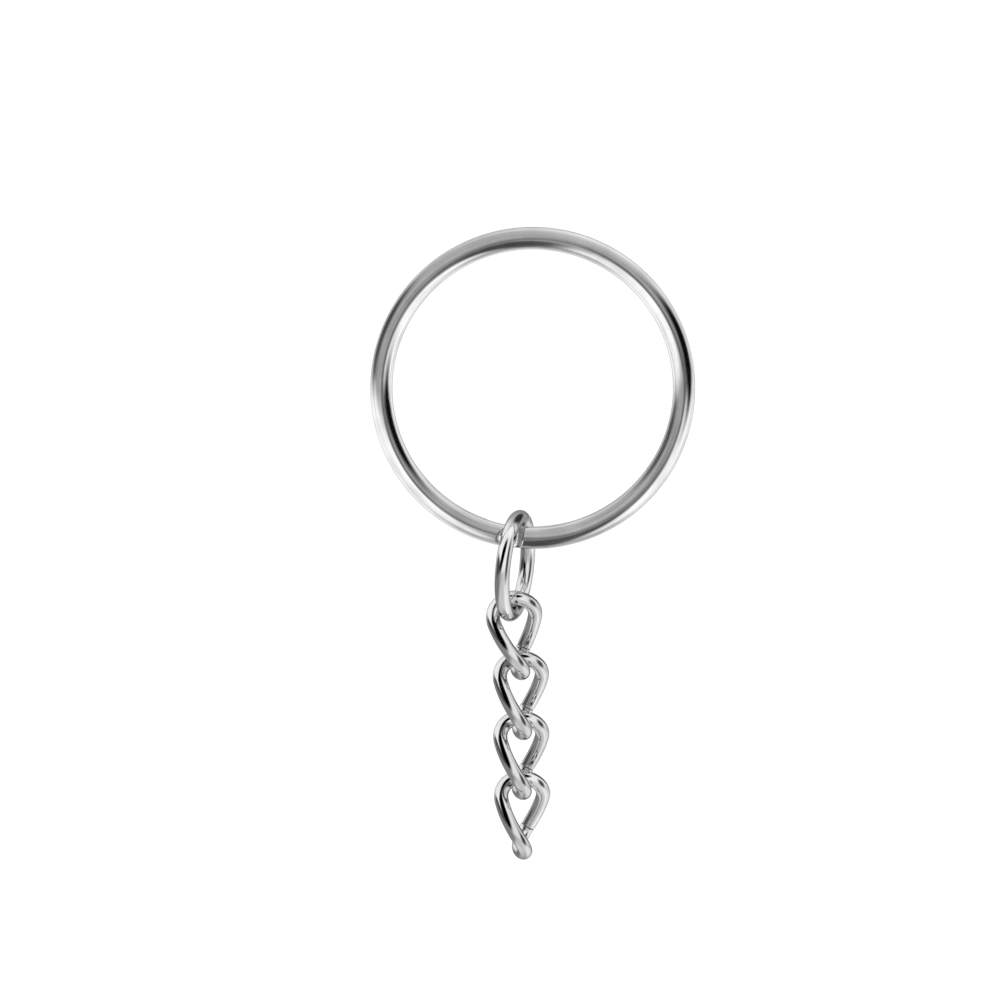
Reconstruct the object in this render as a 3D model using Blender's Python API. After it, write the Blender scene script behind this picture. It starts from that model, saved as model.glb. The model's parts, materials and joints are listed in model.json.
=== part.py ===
"""A split key ring with a jump ring and a short drop of four twisted curb links.

Six pieces of bent wire, hanging one in another. The origin is the highest point of the
split ring's inner edge, where a hook or a nail carries the whole. +Z is up, the chain
runs down -Z, the ring's axis is Y, and -Y is its front.
"""
from math import ceil, cos, pi, radians, sin

import bmesh
import bpy
from mathutils import Matrix, Vector

MM = 0.001

# The split ring: one wire wound nearly twice round. Each turn is half round, and the
# two flat faces lie on each other, so the pair has a nearly round section.
RING_OUTER_RADIUS = 12.5 * MM
RING_WIRE_WIDTH = 1.70 * MM
TURN_DEPTH = 0.82 * MM
FLAT_EDGE_DEPTH = 0.10 * MM
TURN_GAP = 0.06 * MM
TURN_ROUNDNESS = 2.0
FLAT_ROUNDNESS = 5.0
SECTION_POINTS = 14
TURN_STEP = radians(5.0)
BEND_STEP = radians(1.4)

# Places round the ring, counted from +X towards +Z. The wire starts with the front
# turn's cut end, crosses to the back in the bend and ends with the back turn's cut end.
# Both ends are sheared at a slant, so they reach furthest at the ring's outer edge.
FRONT_END = radians(265.4)
BEND_START = radians(256.6)
BEND_END = radians(264.6)
BACK_END = radians(252.6)
END_SLANT = radians(2.4)
FULL_TURN = 2.0 * pi

# The jump ring: one turn of round wire, cut just behind its top.
JUMP_MEAN_RADIUS = 3.76 * MM
JUMP_WIRE_RADIUS = 0.575 * MM
JUMP_PLACE = radians(264.6)
JUMP_REST_GAP = 0.08 * MM
JUMP_TURN = radians(75.0)
JUMP_LEAN = radians(4.0)
JUMP_CUT_BEHIND_TOP = radians(18.0)
JUMP_CUT_GAP = 0.15 * MM
JUMP_SEGMENTS = 48

# The links: a long loop of round wire, twisted about its length. Its upper bow faces
# the front and its lower bow stands edge on. The right side passes behind.
LINK_COUNT = 4
LINK_WIRE_RADIUS = 0.55 * MM
LINK_HALF_LENGTH = 2.97 * MM
LINK_HALF_WIDTH = 1.76 * MM
LINK_TWIST_TOP = radians(-9.0)
LINK_TWIST_BOTTOM = radians(110.0)
LINK_SEAM_HEIGHT = -1.2 * MM
LINK_SEAM_GAP = 0.10 * MM
LINK_RUNNING_GAP = 0.12 * MM
LINK_SEGMENTS = 48

# Where each link's upper bow hangs, and how far the link is turned about Y.
LINK_TOP_X = (-1.58 * MM, -0.93 * MM, -0.88 * MM, -0.80 * MM)
LINK_LEAN = (radians(-6.3), radians(-1.2), radians(-0.4), 0.0)

WIRE_SIDES_RESOLUTION = 3

RING_MEAN_RADIUS = RING_OUTER_RADIUS - RING_WIRE_WIDTH / 2
RING_INNER_RADIUS = RING_OUTER_RADIUS - RING_WIRE_WIDTH
RING_CENTRE = Vector((0.0, 0.0, -RING_INNER_RADIUS))


def clear_scene():
    """Remove every object that the file opens with."""
    for obj in list(bpy.data.objects):
        bpy.data.objects.remove(obj, do_unlink=True)


def plated_steel(name, shade, roughness):
    """A bright plated metal, a little different on each piece."""
    material = bpy.data.materials.new(name)
    material.use_nodes = True
    shader = material.node_tree.nodes["Principled BSDF"]
    shader.inputs["Base Color"].default_value = (shade, shade, shade * 0.985, 1.0)
    shader.inputs["Metallic"].default_value = 1.0
    shader.inputs["Roughness"].default_value = roughness
    return material


def place(obj, origin, lean=0.0, parent=None):
    """Put an object at origin, turned about Y, and hang it on its parent."""
    obj.matrix_basis = Matrix.Translation(origin) @ Matrix.Rotation(lean, 4, "Y")
    if parent is not None:
        obj.parent = parent
        obj.matrix_parent_inverse = world_matrix(parent).inverted()


def world_matrix(obj):
    """An object's place in the world, worked out up its chain of parents."""
    if obj.parent is None:
        return obj.matrix_basis.copy()
    return world_matrix(obj.parent) @ obj.matrix_parent_inverse @ obj.matrix_basis


def half_section(angle, depth, roundness):
    """One point on one side of a section: distance from its middle, and depth."""
    power = 2.0 / roundness
    across = abs(cos(angle)) ** power * RING_WIRE_WIDTH / 2
    if cos(angle) < 0.0:
        across = -across
    return across, abs(sin(angle)) ** power * depth


def ring_section(crossing):
    """The wire's section as (outwards, y) points; crossing is 0 in front, 1 behind."""
    round_depth = TURN_DEPTH - FLAT_EDGE_DEPTH
    middle = (crossing - 0.5) * (TURN_GAP + 2 * FLAT_EDGE_DEPTH)
    points = []
    for number in range(SECTION_POINTS):
        angle = FULL_TURN * number / SECTION_POINTS
        is_round = half_section(angle, round_depth, TURN_ROUNDNESS)
        is_flat = half_section(angle, FLAT_EDGE_DEPTH, FLAT_ROUNDNESS)
        faces_front = sin(angle) > 0.0
        share_round = 1.0 - crossing if faces_front else crossing
        outwards = is_flat[0] + (is_round[0] - is_flat[0]) * share_round
        depth = is_flat[1] + (is_round[1] - is_flat[1]) * share_round
        points.append((outwards, middle - depth if faces_front else middle + depth))
    return points


def spaced(start, end, step):
    """Evenly spaced angles from start up to end, leaving out the end itself."""
    count = max(1, ceil((end - start) / step - 1e-6))
    return [start + (end - start) * number / count for number in range(count)]


def ring_angles():
    """The angles of the ring's sections, closer together in the bend."""
    bend_start = BEND_START + FULL_TURN
    bend_end = BEND_END + FULL_TURN
    back_end = BACK_END + 2 * FULL_TURN
    angles = spaced(FRONT_END, bend_start, TURN_STEP)
    angles += spaced(bend_start, bend_end, BEND_STEP)
    angles += spaced(bend_end, back_end, TURN_STEP)
    return angles + [back_end]


def bend_share(angle):
    """How far the wire has crossed from the front turn to the back turn."""
    share = (angle - BEND_START - FULL_TURN) / (BEND_END - BEND_START)
    share = min(1.0, max(0.0, share))
    return share * share * (3.0 - 2.0 * share)


def make_split_ring():
    """Sweep the section round the ring, and close its two cut ends."""
    mesh_data = bmesh.new()
    rings = []
    angles = ring_angles()
    slants = [END_SLANT] + [0.0] * (len(angles) - 2) + [-END_SLANT]
    for angle, slant in zip(angles, slants):
        ring = []
        for outwards, y in ring_section(bend_share(angle)):
            radius = RING_MEAN_RADIUS + outwards
            around = angle + slant * (0.5 - outwards / RING_WIRE_WIDTH)
            ring.append(mesh_data.verts.new((radius * cos(around), y, radius * sin(around))))
        rings.append(ring)
    for ring, following in zip(rings, rings[1:]):
        for number in range(SECTION_POINTS):
            beside = (number + 1) % SECTION_POINTS
            corners = (ring[number], ring[beside], following[beside], following[number])
            mesh_data.faces.new(corners)
    mesh_data.faces.new(rings[0])
    mesh_data.faces.new(rings[-1])
    bmesh.ops.recalc_face_normals(mesh_data, faces=mesh_data.faces)

    mesh = bpy.data.meshes.new("split_ring")
    mesh_data.to_mesh(mesh)
    mesh_data.free()
    mesh.shade_smooth()
    mesh.set_sharp_from_angle(angle=radians(50.0))
    mesh.materials.append(plated_steel("split_ring_steel", 0.80, 0.16))
    obj = bpy.data.objects.new("split_ring", mesh)
    bpy.context.scene.collection.objects.link(obj)
    place(obj, RING_CENTRE)
    return obj


def make_wire(name, points, radius, material):
    """A round wire along points, with a flat face at each end."""
    curve = bpy.data.curves.new(name, "CURVE")
    curve.dimensions = "3D"
    curve.bevel_depth = radius
    curve.bevel_resolution = WIRE_SIDES_RESOLUTION
    curve.use_fill_caps = True
    spline = curve.splines.new("POLY")
    spline.points.add(len(points) - 1)
    for point, position in zip(spline.points, points):
        point.co = (*position, 1.0)
    curve.materials.append(material)
    obj = bpy.data.objects.new(name, curve)
    bpy.context.scene.collection.objects.link(obj)
    return obj


def ring_point(angle):
    """The middle of the split ring's double section at an angle."""
    return RING_CENTRE + RING_MEAN_RADIUS * Vector((cos(angle), 0.0, sin(angle)))


def jump_directions():
    """The jump ring's directions in its own plane: to its back and to its top."""
    lean = Matrix.Rotation(JUMP_LEAN, 3, "Y")
    to_back = lean @ Vector((cos(JUMP_TURN), sin(JUMP_TURN), 0.0))
    to_top = lean @ Vector((0.0, 0.0, 1.0))
    return to_back, to_top


def jump_centre():
    """The jump ring's centre, with its top resting inside the split ring."""
    clear = RING_WIRE_WIDTH / 2 + JUMP_REST_GAP + JUMP_WIRE_RADIUS
    top_of_wire = ring_point(JUMP_PLACE) + Vector((0.0, 0.0, clear))
    return top_of_wire - JUMP_MEAN_RADIUS * jump_directions()[1]


def make_jump_ring(parent):
    """The jump ring, with its origin on the split ring's wire, where it swings."""
    hinge = ring_point(JUMP_PLACE)
    centre = jump_centre() - hinge
    to_back, to_top = jump_directions()
    half_gap = JUMP_CUT_GAP / JUMP_MEAN_RADIUS / 2
    start = JUMP_CUT_BEHIND_TOP + half_gap
    sweep = FULL_TURN - 2 * half_gap
    points = []
    for number in range(JUMP_SEGMENTS + 1):
        angle = start + sweep * number / JUMP_SEGMENTS
        points.append(centre + JUMP_MEAN_RADIUS * (sin(angle) * to_back + cos(angle) * to_top))
    material = plated_steel("jump_ring_steel", 0.82, 0.14)
    obj = make_wire("jump_ring", points, JUMP_WIRE_RADIUS, material)
    place(obj, hinge, parent=parent)
    return obj


def loop_point(travel):
    """A point (x, z) on the flat loop, travel along it from the right side's middle."""
    straight = LINK_HALF_LENGTH - LINK_HALF_WIDTH
    bow = pi * LINK_HALF_WIDTH
    half = 2 * straight + bow
    turned_over = travel % (2 * half) >= half
    travel = travel % half
    if travel < straight:
        x, z = LINK_HALF_WIDTH, travel
    elif travel < straight + bow:
        angle = (travel - straight) / LINK_HALF_WIDTH
        x, z = LINK_HALF_WIDTH * cos(angle), straight + LINK_HALF_WIDTH * sin(angle)
    else:
        x, z = -LINK_HALF_WIDTH, half - travel
    return (-x, -z) if turned_over else (x, z)


def loop_length():
    """The length of wire in a link."""
    return 4 * (LINK_HALF_LENGTH - LINK_HALF_WIDTH) + 2 * pi * LINK_HALF_WIDTH


def link_points():
    """The twisted loop's route, with the middle of its upper bow's wire at 0."""
    points = []
    length = loop_length() - LINK_SEAM_GAP
    for number in range(LINK_SEGMENTS + 1):
        travel = LINK_SEAM_HEIGHT + LINK_SEAM_GAP / 2 + length * number / LINK_SEGMENTS
        x, z = loop_point(travel)
        share_down = (LINK_HALF_LENGTH - z) / (2 * LINK_HALF_LENGTH)
        twist = LINK_TWIST_TOP + (LINK_TWIST_BOTTOM - LINK_TWIST_TOP) * share_down
        points.append(Vector((x * cos(twist), x * sin(twist), z - LINK_HALF_LENGTH)))
    return points


def link_bottom(top, lean):
    """The middle of a link's lowest wire, below its upper bow at top."""
    return top + Matrix.Rotation(lean, 3, "Y") @ Vector((0.0, 0.0, -2 * LINK_HALF_LENGTH))


def make_links(parent):
    """The four links, each resting in the one above.

    The first and third swing sideways round the wire they hang on, so their origins lie
    on that wire. The second and fourth swing to front and back round their own upper
    bow, so their origins lie in it.
    """
    hanging_on = jump_centre() - JUMP_MEAN_RADIUS * jump_directions()[1]
    radius_above = JUMP_WIRE_RADIUS
    for number in range(LINK_COUNT):
        lean = LINK_LEAN[number]
        rise = radius_above + LINK_WIRE_RADIUS + LINK_RUNNING_GAP
        top = Vector((LINK_TOP_X[number], hanging_on.y, hanging_on.z + rise))
        origin = hanging_on if number % 2 == 0 else top
        shift = Matrix.Rotation(-lean, 3, "Y") @ (top - origin)
        points = [point + shift for point in link_points()]
        name = f"chain_link_{number + 1}"
        material = plated_steel(f"{name}_steel", 0.81 - 0.01 * (number % 2), 0.15)
        obj = make_wire(name, points, LINK_WIRE_RADIUS, material)
        place(obj, origin, lean, parent)
        parent = obj
        hanging_on = link_bottom(top, lean)
        radius_above = LINK_WIRE_RADIUS


def main():
    clear_scene()
    split_ring = make_split_ring()
    jump_ring = make_jump_ring(split_ring)
    make_links(jump_ring)
    bpy.context.view_layer.update()


main()
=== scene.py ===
"""The looks of the split key ring: six pieces of bright plated wire, hanging one in another.

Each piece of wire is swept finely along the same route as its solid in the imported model.
All sizes are in metres. +Z is up, the chain hangs down -Z, and the camera looks along +Y
and a little down.
"""

import json
from math import cos, pi, radians, sin

import bmesh
import bpy
from mathutils import Matrix, Vector


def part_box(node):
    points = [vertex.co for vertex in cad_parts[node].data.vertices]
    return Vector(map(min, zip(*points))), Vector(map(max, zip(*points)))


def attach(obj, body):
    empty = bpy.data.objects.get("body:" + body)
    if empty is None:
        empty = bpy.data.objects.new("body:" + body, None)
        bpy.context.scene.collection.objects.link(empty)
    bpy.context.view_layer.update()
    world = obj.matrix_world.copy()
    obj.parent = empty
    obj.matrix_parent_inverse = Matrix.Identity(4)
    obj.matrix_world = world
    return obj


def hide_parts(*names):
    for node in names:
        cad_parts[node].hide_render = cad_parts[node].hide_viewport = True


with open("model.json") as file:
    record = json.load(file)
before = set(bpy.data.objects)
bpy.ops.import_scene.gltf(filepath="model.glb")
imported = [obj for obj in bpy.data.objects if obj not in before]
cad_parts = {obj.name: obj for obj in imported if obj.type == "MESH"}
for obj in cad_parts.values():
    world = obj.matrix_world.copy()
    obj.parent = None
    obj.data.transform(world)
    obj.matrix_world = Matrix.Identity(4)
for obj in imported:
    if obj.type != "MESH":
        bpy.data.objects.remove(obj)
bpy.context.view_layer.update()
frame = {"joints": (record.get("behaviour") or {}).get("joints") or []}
HINGES = {joint["name"]: Vector(joint["pos_m"]) for joint in frame["joints"]}

MM = 0.001
FULL_TURN = 2.0 * pi
UP = Vector((0.0, 0.0, 1.0))

# The split ring's wire: a half-round turn in front and one behind, flat against flat.
RING_OUTER_RADIUS = 12.5 * MM
RING_WIRE_WIDTH = 1.70 * MM
TURN_DEPTH = 0.82 * MM
FLAT_EDGE_DEPTH = 0.10 * MM
TURN_GAP = 0.06 * MM
TURN_ROUNDNESS = 2.0
FLAT_ROUNDNESS = 5.0
FRONT_END = radians(265.4)
BEND_START = radians(256.6)
BEND_END = radians(264.6)
BACK_END = radians(252.6)
END_SLANT = radians(2.4)
SLANT_FADES_OVER = radians(6.0)
RING_STEPS = 900
RING_SIDES = 56

# The jump ring: one turn of round wire, whose ends don't quite meet.
JUMP_MEAN_RADIUS = 3.76 * MM
JUMP_WIRE_RADIUS = 0.575 * MM
JUMP_TURN = radians(75.0)
JUMP_LEAN = radians(4.0)
JUMP_CUT_BEHIND_TOP = radians(18.0)
JUMP_CUT_GAP = 0.15 * MM
JUMP_STEPS = 320

# The links: a long loop of round wire, twisted about its length.
LINK_COUNT = 4
LINK_WIRE_RADIUS = 0.55 * MM
LINK_HALF_LENGTH = 2.97 * MM
LINK_HALF_WIDTH = 1.76 * MM
LINK_TWIST_TOP = radians(-9.0)
LINK_TWIST_BOTTOM = radians(110.0)
LINK_SEAM_HEIGHT = -1.2 * MM
LINK_SEAM_GAP = 0.10 * MM
LINK_RUNNING_GAP = 0.12 * MM
LINK_TOP_X = (-1.58 * MM, -0.93 * MM, -0.88 * MM, -0.80 * MM)
LINK_LEAN = (radians(-6.3), radians(-1.2), radians(-0.4), 0.0)
LINK_STEPS = 300

# The round wires' sides, and every wire's rounded ends. Edges sharper than SHARP_ANGLE
# stay crisp.
WIRE_SIDES = 40
END_ROUNDING = 0.05 * MM
END_ROUNDING_STEPS = 4
SHARP_ANGLE = radians(40.0)

RING_MEAN_RADIUS = RING_OUTER_RADIUS - RING_WIRE_WIDTH / 2
RING_CENTRE = Vector((0.0, 0.0, RING_WIRE_WIDTH - RING_OUTER_RADIUS))

# The plate's marks are noise: features per metre (along the wire and across it, or the
# same all ways), then the noise's detail and roughness.
DRAWN_LINES = ((40.0, 4200.0, 4200.0), 4.0, 0.6)
SCORED_LINES = ((55.0, 2600.0, 2600.0), 5.0, 0.7)
HAZE = (420.0, 3.0, 0.55)

# Scoring with a little haze changes the plate's shade, over this range of their noise.
SCORED_SHARE_OF_SHADE = 0.75
SHADE_NOISE = (0.35, 0.60)
SHADE_LOSS = 0.30
SHADE_GAIN = 0.10

# Drawing lines and haze change its roughness in the same way, and the lines stand proud.
DRAWN_SHARE_OF_ROUGHNESS = 0.5
ROUGHNESS_NOISE = (0.30, 0.75)
ROUGHNESS_LOSS = 0.04
ROUGHNESS_GAIN = 0.08
LINE_HEIGHT = 0.008 * MM
LINE_STRENGTH = 0.5

# What the plate still mirrors just before the grazing edge. Real nickel mirrors more
# there: this draws the edge of each wire darker.
EDGE_TINT = (0.45, 0.45, 0.45, 1.0)

# Each finish's shade and roughness.
SPLIT_RING_PLATE = (0.82, 0.09)
JUMP_RING_PLATE = (0.84, 0.06)
CHAIN_LINK_PLATE = (0.82, 0.06)

# The camera: a long lens a little above the ring, looking slightly down on it.
CAMERA_DISTANCE = 600 * MM
CAMERA_ELEVATION = radians(9.0)
VIEW_WIDTH = 77.16 * MM
VIEW_CENTRE = Vector((-2.52 * MM, 0.0, -19.5 * MM))
SENSOR_WIDTH = 36.0
CLIP_NEAR = 10 * MM
CLIP_FAR = 10.0

# The floor: plain, pale and dull.
FLOOR_BELOW_CHAIN = 35 * MM
FLOOR_HALF_WIDTH = 1500 * MM
FLOOR_COLOUR = (0.95, 0.95, 0.95, 1.0)
FLOOR_ROUGHNESS = 0.9
FLOOR_SPECULAR = 0.1

# The room is plain white. The wires don't mirror it: they mirror two glowing tents with
# soft grey cards in them, the split ring one tent, and the jump ring and links the other.
WHITE = (1.0, 1.0, 1.0, 1.0)
ROOM_BRIGHTNESS = 1.12
RING_TENT_RADIUS = 4000 * MM
CHAIN_TENT_RADIUS = 4400 * MM
TENT_SUBDIVISIONS = 3

# The heights between which a tent's table brightens, and then turns into its walls.
TABLE_BRIGHTENS = (radians(-75.0), radians(-50.0))
TABLE_MEETS_WALLS = (radians(-14.0), radians(2.0))

# The walls' brightness changes along one direction, between two distances along it.
WALLS_CHANGE_TOWARDS = Vector((0.35, 0.93, 0.1)).normalized()
WALLS_CHANGE = (-0.4, 0.9)

# Further off than any card's soft edge, in half widths of the card.
OFF_THE_CARD = 10.0

# Each tent's brightness: its table's straight down and just under the horizon, its walls'
# to the front left and to the back right, and its cards'. A card is (bearing, height,
# half width, half height, tilt, softness, brightness), with its five angles in degrees.
RING_TABLE = (0.55, 1.18)
RING_WALLS = (0.52, 0.98)
RING_CARDS = (
    (0.0, -6.0, 80.0, 3.6, 0.0, 0.35, 0.10),
    (-22.0, 0.0, 42.0, 12.0, 0.0, 0.40, 0.40),
    (5.0, -45.0, 12.0, 44.0, 0.0, 0.45, 0.08),
    (-88.0, 15.0, 30.0, 22.0, 0.0, 0.50, 0.08),
    (56.0, 5.0, 32.0, 21.0, 22.0, 0.40, 0.005),
)
CHAIN_TABLE = (0.74, 0.72)
CHAIN_WALLS = (1.10, 1.00)
CHAIN_CARDS = (
    (180.0, 0.0, 30.0, 80.0, 0.0, 0.30, 0.50),
    (110.0, -45.0, 60.0, 24.0, 0.0, 0.40, 1.00),
    (-92.0, -26.0, 58.0, 22.0, 0.0, 0.40, 0.24),
    (-80.0, 3.0, 42.0, 15.0, 0.0, 0.35, 0.09),
    (62.0, 4.0, 20.0, 30.0, -30.0, 0.45, 0.08),
    (135.0, 34.0, 18.0, 36.0, 0.0, 0.40, 0.04),
    (-22.0, 30.0, 21.0, 42.0, -38.0, 0.22, 0.00),
)


# ---------------------------------------------------------------- swept wire

def frames_along(points, first_side):
    """Section axes (side, up) at each point, carried along the wire without twisting."""
    side = first_side
    frames = []
    for number in range(len(points)):
        before = points[max(0, number - 1)]
        after = points[min(len(points) - 1, number + 1)]
        along = (after - before).normalized()
        side = (side - along * side.dot(along)).normalized()
        frames.append((side, along.cross(side), along))
    return frames


def sweep(name, points, frames, outline_at):
    """A closed wire: outlines set up across the route, with softly rounded cut ends.

    Every vertex also stores where it is in the wire (length along, and across in the
    section), for the marks that wire drawing leaves.
    """
    rings = []
    travelled = 0.0
    for number, (point, axes) in enumerate(zip(points, frames)):
        if number:
            travelled += (point - points[number - 1]).length
        rings.append((point, axes, 0.0, 0.0, travelled, outline_at(number)))
    rings = end_rings(rings[0], -1.0)[::-1] + rings[1:-1] + end_rings(rings[-1], 1.0)

    vertices = []
    places = []
    for point, (side, up, along), forward, inset, length, outline in rings:
        for a, b in outline:
            from_middle = (a * a + b * b) ** 0.5
            shrink = max(0.0, 1.0 - inset / from_middle)
            across = side * a * shrink + up * b * shrink
            vertices.append(point + across + along * forward)
            places.append((length + forward, a, b))
    sides = len(outline_at(0))
    faces = [tuple(range(sides))[::-1]]
    for row in range(len(rings) - 1):
        for number in range(sides):
            beside = (number + 1) % sides
            low, high = row * sides, (row + 1) * sides
            faces.append((low + number, low + beside, high + beside, high + number))
    faces.append(tuple(range((len(rings) - 1) * sides, len(rings) * sides)))

    mesh = bpy.data.meshes.new(name)
    mesh.from_pydata(vertices, [], faces)
    mesh.shade_smooth()
    mesh.set_sharp_from_angle(angle=SHARP_ANGLE)
    attribute = mesh.attributes.new("in_wire", "FLOAT_VECTOR", "POINT")
    attribute.data.foreach_set("vector", [value for place in places for value in place])
    obj = bpy.data.objects.new(name, mesh)
    bpy.context.scene.collection.objects.link(obj)
    return obj


def end_rings(ring, direction):
    """The rings that round over a cut end, from the full section to the end's face."""
    point, axes, _, _, length, outline = ring
    rings = []
    for number in range(END_ROUNDING_STEPS + 1):
        angle = 0.5 * pi * number / END_ROUNDING_STEPS
        forward = direction * END_ROUNDING * (sin(angle) - 1.0)
        inset = END_ROUNDING * (1.0 - cos(angle))
        rings.append((point, axes, forward, inset, length, outline))
    return rings


def circle(radius, sides):
    """A round section."""
    angles = [FULL_TURN * number / sides for number in range(sides)]
    return [(radius * cos(angle), radius * sin(angle)) for angle in angles]


# ---------------------------------------------------------------- the split ring

def half_section(angle, depth, roundness):
    """One point on one side of a section: distance from its middle, and depth."""
    power = 2.0 / roundness
    across = abs(cos(angle)) ** power * RING_WIRE_WIDTH / 2
    if cos(angle) < 0.0:
        across = -across
    return across, abs(sin(angle)) ** power * depth


def ring_section(crossing):
    """The wire's section as (outwards, y) points; crossing is 0 in front, 1 behind."""
    round_depth = TURN_DEPTH - FLAT_EDGE_DEPTH
    middle = (crossing - 0.5) * (TURN_GAP + 2 * FLAT_EDGE_DEPTH)
    points = []
    for number in range(RING_SIDES):
        angle = FULL_TURN * number / RING_SIDES
        is_round = half_section(angle, round_depth, TURN_ROUNDNESS)
        is_flat = half_section(angle, FLAT_EDGE_DEPTH, FLAT_ROUNDNESS)
        faces_front = sin(angle) > 0.0
        share_round = 1.0 - crossing if faces_front else crossing
        outwards = is_flat[0] + (is_round[0] - is_flat[0]) * share_round
        depth = is_flat[1] + (is_round[1] - is_flat[1]) * share_round
        points.append((outwards, middle - depth if faces_front else middle + depth))
    return points


def bend_share(angle):
    """How far the wire has crossed from the front turn to the back turn."""
    share = (angle - BEND_START - FULL_TURN) / (BEND_END - BEND_START)
    share = min(1.0, max(0.0, share))
    return share * share * (3.0 - 2.0 * share)


def make_split_ring():
    """The ring's one wire, from its front end nearly twice round to its back end."""
    sweep_angle = BACK_END + 2 * FULL_TURN - FRONT_END
    angles = [FRONT_END + sweep_angle * number / RING_STEPS for number in range(RING_STEPS + 1)]
    points = []
    frames = []
    for angle in angles:
        outwards = Vector((cos(angle), 0.0, sin(angle)))
        along = Vector((-sin(angle), 0.0, cos(angle)))
        points.append(RING_CENTRE + RING_MEAN_RADIUS * outwards)
        frames.append((outwards, Vector((0.0, 1.0, 0.0)), along))
    sections = [ring_section(bend_share(angle)) for angle in angles]
    obj = sweep("split_ring_wire", points, frames, lambda row: sections[row])
    shear_ends(obj, angles[0], angles[-1])
    return obj


def shear_ends(obj, first, last):
    """Slant the ring's cut ends, so that they reach furthest at its outer edge.

    first and last are the angles at the two ends. The rows count as evenly spaced between
    them. Those that round an end over lie closer than that, so they are slanted unequally,
    and at the inner edge the end's face sits about 0.2 mm below a thin rim.
    """
    sides = RING_SIDES
    rows = len(obj.data.vertices) // sides
    for row in range(rows):
        share = row / (rows - 1)
        angle = first + (last - first) * share
        slant = END_SLANT * max(0.0, 1.0 - (angle - first) / SLANT_FADES_OVER)
        slant -= END_SLANT * max(0.0, 1.0 - (last - angle) / SLANT_FADES_OVER)
        if not slant:
            continue
        for number in range(sides):
            vertex = obj.data.vertices[row * sides + number]
            offset = vertex.co - RING_CENTRE
            outwards = (offset.x ** 2 + offset.z ** 2) ** 0.5 - RING_MEAN_RADIUS
            around = slant * (0.5 - outwards / RING_WIRE_WIDTH)
            vertex.co = RING_CENTRE + Matrix.Rotation(-around, 3, "Y") @ offset


# ---------------------------------------------------------------- the jump ring

def jump_directions():
    """The jump ring's directions in its own plane: to its back and to its top."""
    lean = Matrix.Rotation(JUMP_LEAN, 3, "Y")
    return lean @ Vector((cos(JUMP_TURN), sin(JUMP_TURN), 0.0)), lean @ UP


def make_jump_ring():
    """One turn of wire, round the split ring's bottom and the first link's top."""
    to_back, to_top = jump_directions()
    centre = HINGES["chain_link_1_swing"] + JUMP_MEAN_RADIUS * to_top
    half_gap = JUMP_CUT_GAP / JUMP_MEAN_RADIUS / 2
    start = JUMP_CUT_BEHIND_TOP + half_gap
    sweep_angle = FULL_TURN - 2 * half_gap
    points = []
    for number in range(JUMP_STEPS + 1):
        angle = start + sweep_angle * number / JUMP_STEPS
        points.append(centre + JUMP_MEAN_RADIUS * (sin(angle) * to_back + cos(angle) * to_top))
    frames = frames_along(points, to_back.cross(to_top))
    outline = circle(JUMP_WIRE_RADIUS, WIRE_SIDES)
    return sweep("jump_ring_wire", points, frames, lambda row: outline)


# ---------------------------------------------------------------- the links

def loop_point(travel):
    """A point (x, z) on the flat loop, travel along it from the right side's middle."""
    straight = LINK_HALF_LENGTH - LINK_HALF_WIDTH
    bow = pi * LINK_HALF_WIDTH
    half = 2 * straight + bow
    turned_over = travel % (2 * half) >= half
    travel = travel % half
    if travel < straight:
        x, z = LINK_HALF_WIDTH, travel
    elif travel < straight + bow:
        angle = (travel - straight) / LINK_HALF_WIDTH
        x, z = LINK_HALF_WIDTH * cos(angle), straight + LINK_HALF_WIDTH * sin(angle)
    else:
        x, z = -LINK_HALF_WIDTH, half - travel
    return (-x, -z) if turned_over else (x, z)


def loop_length():
    """The length of wire in a link."""
    return 4 * (LINK_HALF_LENGTH - LINK_HALF_WIDTH) + 2 * pi * LINK_HALF_WIDTH


def link_route(top, lean):
    """The twisted loop's route below the middle of its upper bow's wire."""
    turned = Matrix.Rotation(lean, 3, "Y")
    points = []
    length = loop_length() - LINK_SEAM_GAP
    for number in range(LINK_STEPS + 1):
        travel = LINK_SEAM_HEIGHT + LINK_SEAM_GAP / 2 + length * number / LINK_STEPS
        x, z = loop_point(travel)
        share_down = (LINK_HALF_LENGTH - z) / (2 * LINK_HALF_LENGTH)
        twist = LINK_TWIST_TOP + (LINK_TWIST_BOTTOM - LINK_TWIST_TOP) * share_down
        point = Vector((x * cos(twist), x * sin(twist), z - LINK_HALF_LENGTH))
        points.append(top + turned @ point)
    return points


def make_links():
    """The four links, each hanging in the one above."""
    links = []
    hanging_on = HINGES["chain_link_1_swing"]
    radius_above = JUMP_WIRE_RADIUS
    outline = circle(LINK_WIRE_RADIUS, WIRE_SIDES)
    for number in range(LINK_COUNT):
        rise = radius_above + LINK_WIRE_RADIUS + LINK_RUNNING_GAP
        top = Vector((LINK_TOP_X[number], hanging_on.y, hanging_on.z + rise))
        points = link_route(top, LINK_LEAN[number])
        frames = frames_along(points, Vector((0.0, 1.0, 0.0)))
        name = f"chain_link_{number + 1}_wire"
        links.append(sweep(name, points, frames, lambda row: outline))
        down = Vector((0.0, 0.0, -2 * LINK_HALF_LENGTH))
        hanging_on = top + Matrix.Rotation(LINK_LEAN[number], 3, "Y") @ down
        radius_above = LINK_WIRE_RADIUS
    return links


# ---------------------------------------------------------------- shader nodes

def node(tree, kind, **settings):
    """A new shader node; settings name its properties, or its sockets as in_NAME."""
    made = tree.nodes.new(kind)
    for key, value in settings.items():
        if key.startswith("in_"):
            made.inputs[key[3:].replace("_", " ")].default_value = value
        else:
            setattr(made, key, value)
    return made


def feed(tree, value, socket):
    """Link another node's output to a socket, or give the socket a number."""
    if isinstance(value, bpy.types.NodeSocket):
        tree.links.new(value, socket)
    else:
        socket.default_value = value


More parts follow.
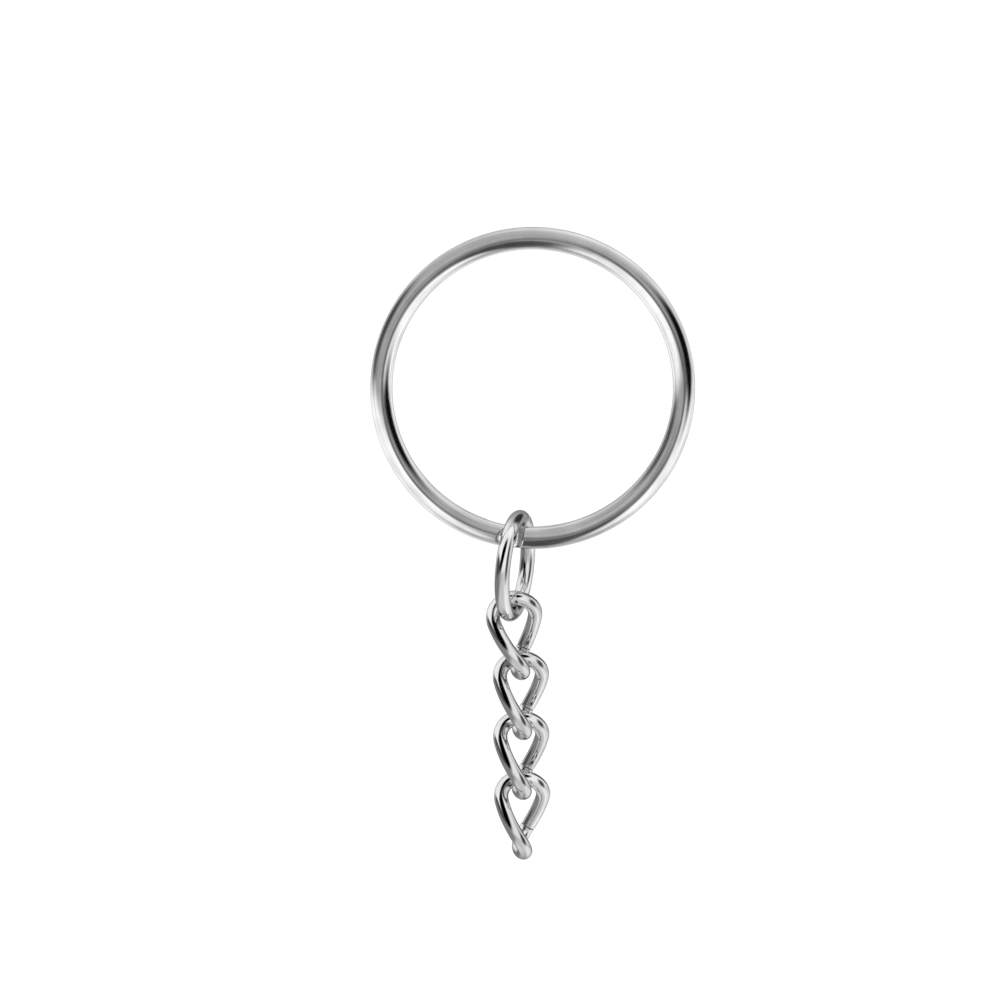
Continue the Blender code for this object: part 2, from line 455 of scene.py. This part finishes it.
def calculate(tree, operation, first, second):
    """The result of one operation on two values, each a number or an output."""
    made = node(tree, "ShaderNodeMath", operation=operation)
    feed(tree, first, made.inputs[0])
    feed(tree, second, made.inputs[1])
    return made.outputs["Value"]


def blend(tree, share, first, second):
    """The first value where share is 0, and the second where it is 1."""
    made = node(tree, "ShaderNodeMix", data_type="FLOAT")
    feed(tree, share, made.inputs["Factor"])
    feed(tree, first, made.inputs["A"])
    feed(tree, second, made.inputs["B"])
    return made.outputs["Result"]


def ramp(tree, value, start, end, low=0.0, high=1.0, smooth=False):
    """Turn a value's run from start to end into one from low to high, level outside it."""
    made = node(
        tree, "ShaderNodeMapRange",
        in_From_Min=start, in_From_Max=end, in_To_Min=low, in_To_Max=high,
    )
    if smooth:
        made.interpolation_type = "SMOOTHSTEP"
    feed(tree, value, made.inputs["Value"])
    return made.outputs["Result"]


# ---------------------------------------------------------------- materials

def noise(tree, place, scale, detail, roughness):
    """Noise with this many features per metre."""
    made = node(tree, "ShaderNodeTexNoise", in_Scale=scale, in_Detail=detail, in_Roughness=roughness)
    feed(tree, place, made.inputs["Vector"])
    return made.outputs["Fac"]


def lines_along(tree, in_wire, scale, detail, roughness):
    """Noise drawn out along the wire; scale is its features per metre, along and across."""
    stretch = node(tree, "ShaderNodeMapping", in_Scale=scale)
    feed(tree, in_wire, stretch.inputs["Vector"])
    return noise(tree, stretch.outputs["Vector"], 1.0, detail, roughness)


def plated_wire(name, shade, roughness):
    """Bright nickel plate over drawn wire: fine lines along it, haze and light wear."""
    material = bpy.data.materials.new(name)
    material.use_nodes = True
    tree = material.node_tree
    shader = tree.nodes["Principled BSDF"]
    shader.inputs["Metallic"].default_value = 1.0
    shader.inputs["Specular Tint"].default_value = EDGE_TINT

    in_wire = node(tree, "ShaderNodeAttribute", attribute_name="in_wire").outputs["Vector"]
    drawn = lines_along(tree, in_wire, *DRAWN_LINES)
    scored = lines_along(tree, in_wire, *SCORED_LINES)
    haze = noise(tree, node(tree, "ShaderNodeTexCoord").outputs["Object"], *HAZE)

    wear = blend(tree, SCORED_SHARE_OF_SHADE, haze, scored)
    tone = ramp(tree, wear, *SHADE_NOISE, shade - SHADE_LOSS, shade + SHADE_GAIN)
    colour = node(tree, "ShaderNodeCombineColor")
    for channel in ("Red", "Green", "Blue"):
        feed(tree, tone, colour.inputs[channel])
    feed(tree, colour.outputs["Color"], shader.inputs["Base Color"])

    dulling = blend(tree, DRAWN_SHARE_OF_ROUGHNESS, haze, drawn)
    smoothest = roughness - ROUGHNESS_LOSS
    roughest = roughness + ROUGHNESS_GAIN
    dullness = ramp(tree, dulling, *ROUGHNESS_NOISE, smoothest, roughest)
    feed(tree, dullness, shader.inputs["Roughness"])

    lines = node(tree, "ShaderNodeBump", in_Strength=LINE_STRENGTH, in_Distance=LINE_HEIGHT)
    feed(tree, drawn, lines.inputs["Height"])
    feed(tree, lines.outputs["Normal"], shader.inputs["Normal"])
    return material


# ---------------------------------------------------------------- surroundings

def direction(bearing, height):
    """A direction from the object: bearing 0 is towards the camera, 90 degrees is to +X."""
    return Vector((sin(bearing) * cos(height), -cos(bearing) * cos(height), sin(height)))


def vector_part(tree, ray, axis):
    """How far a ray points along an axis."""
    product = node(tree, "ShaderNodeVectorMath", operation="DOT_PRODUCT")
    feed(tree, ray, product.inputs[0])
    feed(tree, axis, product.inputs[1])
    return product.outputs["Value"]


def height_band(tree, ray, low, high):
    """A smooth step from 0 below one height above the horizon to 1 above another."""
    return ramp(tree, vector_part(tree, ray, UP), sin(low), sin(high), smooth=True)


def soft_card(tree, ray, angles, softness):
    """1 on a soft-edged oval card seen in that direction, 0 off it."""
    bearing, height, half_width, half_height, tilt = angles
    facing = direction(bearing, height)
    level = Vector((cos(bearing), sin(bearing), 0.0))
    upright = facing.cross(level)
    wide = level * cos(tilt) + upright * sin(tilt)
    tall = upright * cos(tilt) - level * sin(tilt)

    sideways = calculate(tree, "DIVIDE", vector_part(tree, ray, wide), sin(half_width))
    upwards = calculate(tree, "DIVIDE", vector_part(tree, ray, tall), sin(half_height))
    # Directions away from the card would fall on it as well, so they are moved off it.
    faces_away = calculate(tree, "LESS_THAN", vector_part(tree, ray, facing), 0.0)
    moved_off = calculate(tree, "MULTIPLY", faces_away, OFF_THE_CARD)

    offset = node(tree, "ShaderNodeCombineXYZ")
    feed(tree, sideways, offset.inputs["X"])
    feed(tree, upwards, offset.inputs["Y"])
    feed(tree, moved_off, offset.inputs["Z"])
    distance = node(tree, "ShaderNodeVectorMath", operation="LENGTH")
    feed(tree, offset.outputs["Vector"], distance.inputs[0])
    return ramp(tree, distance.outputs["Value"], 1.0 + softness, 1.0 - softness, smooth=True)


def make_studio():
    """Plain white all round for the camera and the floor; mirrored rays see the tents."""
    world = bpy.data.worlds.new("studio")
    bpy.context.scene.world = world
    world.use_nodes = True
    tree = world.node_tree
    background = tree.nodes["Background"]
    background.inputs["Color"].default_value = WHITE
    is_mirrored = node(tree, "ShaderNodeLightPath").outputs["Is Glossy Ray"]
    brightness = ramp(tree, is_mirrored, 0.0, 1.0, ROOM_BRIGHTNESS, 0.0)
    feed(tree, brightness, background.inputs["Strength"])


def tent_paint(name, table, walls, cards):
    """A tent's glow by direction from the object, with its cards laid over it in turn."""
    paint = bpy.data.materials.new(name)
    paint.use_nodes = True
    paint.cycles.emission_sampling = "NONE"
    tree = paint.node_tree
    tree.nodes.clear()
    unit = node(tree, "ShaderNodeVectorMath", operation="NORMALIZE")
    feed(tree, node(tree, "ShaderNodeTexCoord").outputs["Object"], unit.inputs[0])
    ray = unit.outputs["Vector"]

    below = ramp(tree, height_band(tree, ray, *TABLE_BRIGHTENS), 0.0, 1.0, *table)
    along = vector_part(tree, ray, WALLS_CHANGE_TOWARDS)
    above = ramp(tree, along, *WALLS_CHANGE, *walls, smooth=True)
    shown = blend(tree, height_band(tree, ray, *TABLE_MEETS_WALLS), below, above)
    for *degrees, softness, brightness in cards:
        angles = [radians(angle) for angle in degrees]
        shown = blend(tree, soft_card(tree, ray, angles, softness), shown, brightness)

    glow = node(tree, "ShaderNodeEmission")
    feed(tree, shown, glow.inputs["Strength"])
    clear = node(tree, "ShaderNodeBsdfTransparent")
    both = node(tree, "ShaderNodeAddShader")
    feed(tree, glow.outputs["Emission"], both.inputs[0])
    feed(tree, clear.outputs["BSDF"], both.inputs[1])
    output = node(tree, "ShaderNodeOutputMaterial")
    feed(tree, both.outputs["Shader"], output.inputs["Surface"])
    return paint


def make_tent(name, radius, pieces, paint):
    """A glowing tent round the object, which only the given pieces mirror."""
    shell = bmesh.new()
    bmesh.ops.create_icosphere(shell, subdivisions=TENT_SUBDIVISIONS, radius=radius)
    mesh = bpy.data.meshes.new(name)
    shell.to_mesh(mesh)
    shell.free()
    mesh.materials.append(paint)
    tent = bpy.data.objects.new(name, mesh)
    bpy.context.scene.collection.objects.link(tent)
    tent.visible_camera = False
    tent.visible_diffuse = False
    tent.visible_transmission = False
    tent.visible_volume_scatter = False
    tent.visible_shadow = False
    mirrors = bpy.data.collections.new(f"{name}_mirrors")
    for piece in pieces:
        mirrors.objects.link(piece)
    tent.light_linking.receiver_collection = mirrors


def make_floor():
    """A plain white floor, well below the chain, which the wires don't mirror."""
    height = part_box(f"chain_link_{LINK_COUNT}")[0].z - FLOOR_BELOW_CHAIN
    side = FLOOR_HALF_WIDTH
    corners = [
        (-side, -side, height),
        (side, -side, height),
        (side, side, height),
        (-side, side, height),
    ]
    mesh = bpy.data.meshes.new("floor")
    mesh.from_pydata(corners, [], [(0, 1, 2, 3)])
    paint = bpy.data.materials.new("floor_white")
    paint.use_nodes = True
    shader = paint.node_tree.nodes["Principled BSDF"]
    shader.inputs["Base Color"].default_value = FLOOR_COLOUR
    shader.inputs["Roughness"].default_value = FLOOR_ROUGHNESS
    shader.inputs["Specular IOR Level"].default_value = FLOOR_SPECULAR
    mesh.materials.append(paint)
    floor = bpy.data.objects.new("floor", mesh)
    floor.visible_glossy = False
    bpy.context.scene.collection.objects.link(floor)


def make_camera():
    """The camera, to the front and a little above."""
    camera = bpy.data.cameras.new("camera")
    camera.sensor_width = SENSOR_WIDTH
    camera.lens = SENSOR_WIDTH * CAMERA_DISTANCE / VIEW_WIDTH
    camera.clip_start = CLIP_NEAR
    camera.clip_end = CLIP_FAR
    obj = bpy.data.objects.new("camera", camera)
    bpy.context.scene.collection.objects.link(obj)
    back = Vector((0.0, -cos(CAMERA_ELEVATION), sin(CAMERA_ELEVATION)))
    obj.location = VIEW_CENTRE + back * CAMERA_DISTANCE
    obj.rotation_euler = (-back).to_track_quat("-Z", "Y").to_euler()
    bpy.context.scene.camera = obj


# ---------------------------------------------------------------- the scene

def dress(piece, body, material):
    """Give a piece its finish, and hang it on the body whose solid it stands for."""
    piece.data.materials.append(material)
    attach(piece, body)
    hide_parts(body)


def main():
    """Make the six wires, the studio round them, and the camera."""
    ring = make_split_ring()
    dress(ring, "split_ring", plated_wire("split_ring_plate", *SPLIT_RING_PLATE))
    jump_ring = make_jump_ring()
    dress(jump_ring, "jump_ring", plated_wire("jump_ring_plate", *JUMP_RING_PLATE))
    links = make_links()
    link_plate = plated_wire("chain_link_plate", *CHAIN_LINK_PLATE)
    for number, link in enumerate(links):
        dress(link, f"chain_link_{number + 1}", link_plate)

    make_studio()
    ring_paint = tent_paint("ring_tent", RING_TABLE, RING_WALLS, RING_CARDS)
    make_tent("ring_tent", RING_TENT_RADIUS, [ring], ring_paint)
    chain_paint = tent_paint("chain_tent", CHAIN_TABLE, CHAIN_WALLS, CHAIN_CARDS)
    make_tent("chain_tent", CHAIN_TENT_RADIUS, [jump_ring, *links], chain_paint)
    make_floor()
    make_camera()
    bpy.context.scene.view_settings.view_transform = "Standard"


main()
